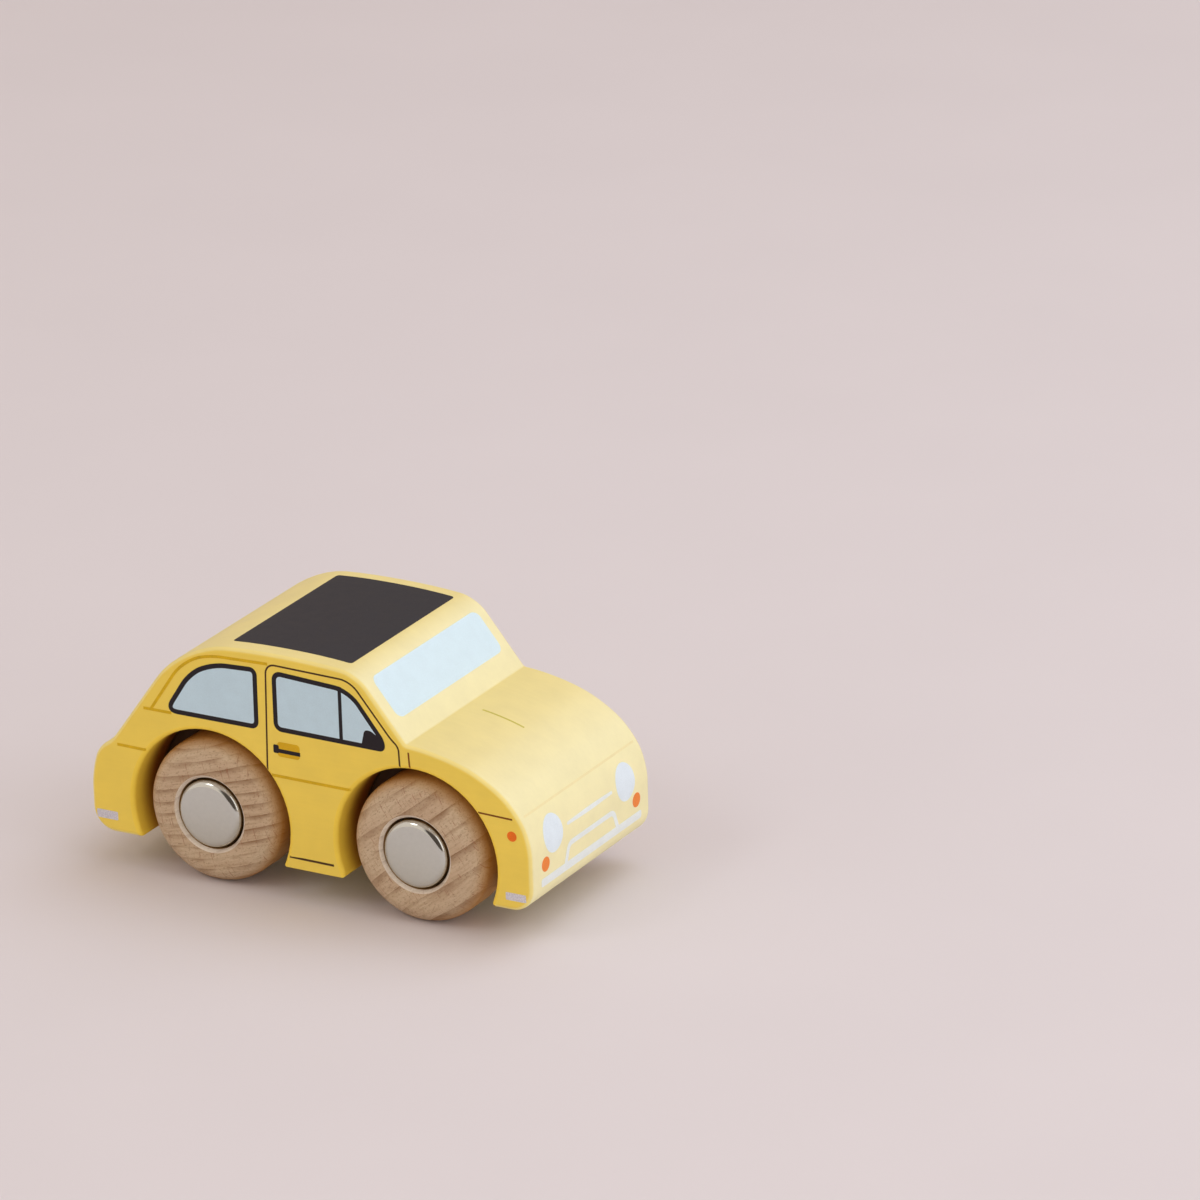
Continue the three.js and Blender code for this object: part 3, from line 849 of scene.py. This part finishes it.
WHEEL_RADIUS, WHEEL_INSIDE, WHEEL_FACE = 15.0, 12.5, 24.0
RECESS, MOUTH, CHAMFER_FOOT, RECESS_FLOOR = 7.5, 8.15, 23.3, 19.7
WHEEL_SECTION = [  # radius, y and setback in mm
    (BORE_RADIUS, WHEEL_INSIDE, 0.3), (WHEEL_RADIUS, WHEEL_INSIDE, 1.2),
    (WHEEL_RADIUS, WHEEL_FACE, 4.2), (MOUTH, WHEEL_FACE, 0.15), (RECESS, CHAMFER_FOOT, 0.15),
    (RECESS, RECESS_FLOOR, 0.4), (BORE_RADIUS, RECESS_FLOOR, 0.2),
]


def cut_chamfer(bm, x):
    """Gives the faces of the chamfer round the recess the second finish."""
    for face in bm.faces:
        middle = face.calc_center_median() / MM
        radius = math.hypot(middle.x - x, middle.z - AXLE_Z)
        face.material_index = int(RECESS + 2 * HAIR < radius < MOUTH)
    return bm


for end_name, x in AXLE_X.items():
    for side_name, sign in (("right", -1), ("left", 1)):
        name = end_name + "_" + side_name + "_wheel"
        section = [(radius, sign * y, setback) for radius, y, setback in WHEEL_SECTION]
        make_piece(cut_chamfer(spun(section, x, True), x), "turned_" + name,
                   [WHEEL_WOOD[end_name], chamfer_wood_with_painted_highlight], name, [name])

# %% [markdown]
# The hub caps are pressed from thin sheet: a shallow dome, a tight rounded shoulder and a
# straight skirt that goes down into the wheel's recess. The axle is a plain steel rod with
# chamfered ends, hidden under the caps. The washers keep their CAD shape and only get their steel.

# %% Hub caps, axles and washers
CAP_SECTION = [  # radius, y and setback in mm
    (0.0, 24.7, 0), (3.4, 24.66, 2.2), (7.1, 24.42, 1.3), (7.1, 20.0, 0.1), (6.65, 20.0, 0.1),
    (6.65, 23.9, 0.9), (0.0, 24.25, 0),
]
AXLE_RADIUS, AXLE_HALF = 3.0, 23.75
for end_name, x in AXLE_X.items():
    body = end_name + "_axle_set"
    for side_name, sign in (("right", -1), ("left", 1)):
        section = [(radius, sign * y, setback) for radius, y, setback in CAP_SECTION]
        make_piece(spun(section, x, False), "pressed_" + end_name + "_" + side_name + "_cap",
                   [cap_nickel], body, [end_name + "_" + side_name + "_hub_cap"])
        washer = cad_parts[end_name + "_" + side_name + "_push_washer"]
        washer.data.materials.clear()
        washer.data.materials.append(spring_steel)
    rod = [(0, -AXLE_HALF, 0), (AXLE_RADIUS, -AXLE_HALF, 0.4), (AXLE_RADIUS, AXLE_HALF, 0.4),
           (0, AXLE_HALF, 0)]
    make_piece(spun(rod, x, False), "turned_" + end_name + "_axle", [axle_steel], body,
               [end_name + "_axle"])

# %% [markdown]
# The car stands on a plain pale floor, large enough to fill every view. Its colour is a faint
# warm grey that varies a little, like a painted board.

# %% Floor
FLOOR_HALF, FLOOR_CLOUD = 6.0, 60 * MM
floor_paint, floor_shader = new_finish("pale_painted_board", Specular_IOR_Level=0.1,
                                       Roughness=0.8)
floor_places = add(floor_paint, "ShaderNodeTexCoord")
floor_clouds = add(floor_paint, "ShaderNodeTexNoise", {"Vector": floor_places.outputs["Object"]},
                   {"Scale": 1 / FLOOR_CLOUD, "Detail": 2.0})
floor_tone = add(floor_paint, "ShaderNodeMix", {"Factor": floor_clouds.outputs["Fac"]},
                 {"A": linear("#DFDADB"), "B": linear("#E3DEDF")}, data_type="RGBA")
feed(floor_paint, floor_shader, Base_Color=floor_tone.outputs["Result"])
board = bmesh.new()
bmesh.ops.create_grid(board, x_segments=2, y_segments=2, size=FLOOR_HALF)
board_mesh = bpy.data.meshes.new("floor")
board.to_mesh(board_mesh)
board.free()
board_mesh.materials.append(floor_paint)
floor = bpy.data.objects.new("floor", board_mesh)
bpy.context.scene.collection.objects.link(floor)
print("floor side in m:", 2 * FLOOR_HALF)

# %% [markdown]
# Plain studio light: a pale warm dome, a large soft lamp from above, one from the front, two weak
# ones on the near side and a small lamp that puts a spark on the caps. Polished metal shows the
# room, so the dome has a dark card on the near side: it gives the caps their dark crescent. The
# side lamp stands before that card, so it is left out of reflections. An area lamp's power for a
# wanted brightness on a surface that faces it is brightness x pi squared x distance squared,
# which keeps the whole scene at a plain level.

# %% Lights
def soft_lamp(name, direction, distance, size, brightness, hex_text, in_mirrors=True):
    """A square soft lamp that faces the car from a direction, its distance and size in m."""
    lamp = bpy.data.lights.new(name, "AREA")
    lamp.size = size
    lamp.energy = brightness * math.pi ** 2 * distance ** 2
    lamp.color = linear(hex_text)[:3]
    holder = bpy.data.objects.new(name, lamp)
    toward = Vector(direction).normalized()
    holder.location = toward * distance
    holder.rotation_mode = "QUATERNION"
    holder.rotation_quaternion = toward.to_track_quat("Z", "Y")
    holder.visible_camera = False
    holder.visible_glossy = in_mirrors
    bpy.context.scene.collection.objects.link(holder)
    print(name, "watts:", round(lamp.energy, 2))


soft_lamp("key_lamp", (0.35, 0.4, 1.0), 1.5, 1.4, 0.4, "#E4EEFF")
soft_lamp("front_lamp", (1.0, 0.05, 0.5), 1.6, 1.3, 0.25, "#F0F6FF")
soft_lamp("fill_lamp", (-0.75, -0.85, 0.25), 1.6, 2.4, 0.22, "#FFFFFF")
soft_lamp("side_lamp", (0.8, -0.85, 0.3), 1.6, 1.2, 0.21, "#FFFFFF", in_mirrors=False)
soft_lamp("spark_lamp", (-0.45, -0.6, 0.75), 1.6, 0.4, 0.06, "#FFFFFF")
DARK_CARD = Vector((0.42, -0.85, 0.25)).normalized()
CARD_EDGE, CARD_MIDDLE = 0.79, 0.87
DOME_LEVEL, CARD_LEVEL = 0.58, 0.1
world = bpy.data.worlds.new("pale_dome")
bpy.context.scene.world = world
world.use_nodes = True
sky = world.node_tree.nodes["Background"]
sky.inputs["Color"].default_value = linear("#FFE8D9")
sky_places = add(world, "ShaderNodeTexCoord")
toward_card = add(world, "ShaderNodeVectorMath", {0: sky_places.outputs["Generated"]},
                  {1: DARK_CARD}, operation="DOT_PRODUCT")
sky_level = add(world, "ShaderNodeMapRange", {"Value": toward_card.outputs["Value"]},
                {"From Min": CARD_EDGE, "From Max": CARD_MIDDLE, "To Min": DOME_LEVEL,
                 "To Max": CARD_LEVEL})
feed(world, sky, Strength=sky_level.outputs[0])
bpy.context.scene.view_settings.view_transform = "Standard"

# %% [markdown]
# The camera stands where the picture was taken from, found by fitting the wheels and the outline:
# about 1.65 m away with a long lens, 30 degrees round from the side and 21 degrees up, with a
# slight roll. Its axes are written out, so that the roll is kept.

# %% Camera
CAMERA_PLACE = Vector((797.82, -1288.68, 638.37)) * MM
CAMERA_RIGHT = Vector((0.8709811, 0.4905472, -0.0274843))
CAMERA_DOWN = Vector((0.1542848, -0.3261904, -0.9326286))
CAMERA_AHEAD = Vector((-0.4664634, 0.8080615, -0.3597896))
FOCAL_PIXELS, FRAME_PIXELS, SENSOR_MM = 8265.0, 1200.0, 36.0
lens = bpy.data.cameras.new("camera")
lens.sensor_width = SENSOR_MM
lens.lens = FOCAL_PIXELS / FRAME_PIXELS * SENSOR_MM
camera = bpy.data.objects.new("camera", lens)
axes = Matrix((CAMERA_RIGHT, -CAMERA_DOWN, -CAMERA_AHEAD)).transposed().to_4x4()
camera.matrix_world = Matrix.Translation(CAMERA_PLACE) @ axes
bpy.context.scene.collection.objects.link(camera)
bpy.context.scene.camera = camera
print("lens in mm:", round(lens.lens, 2))
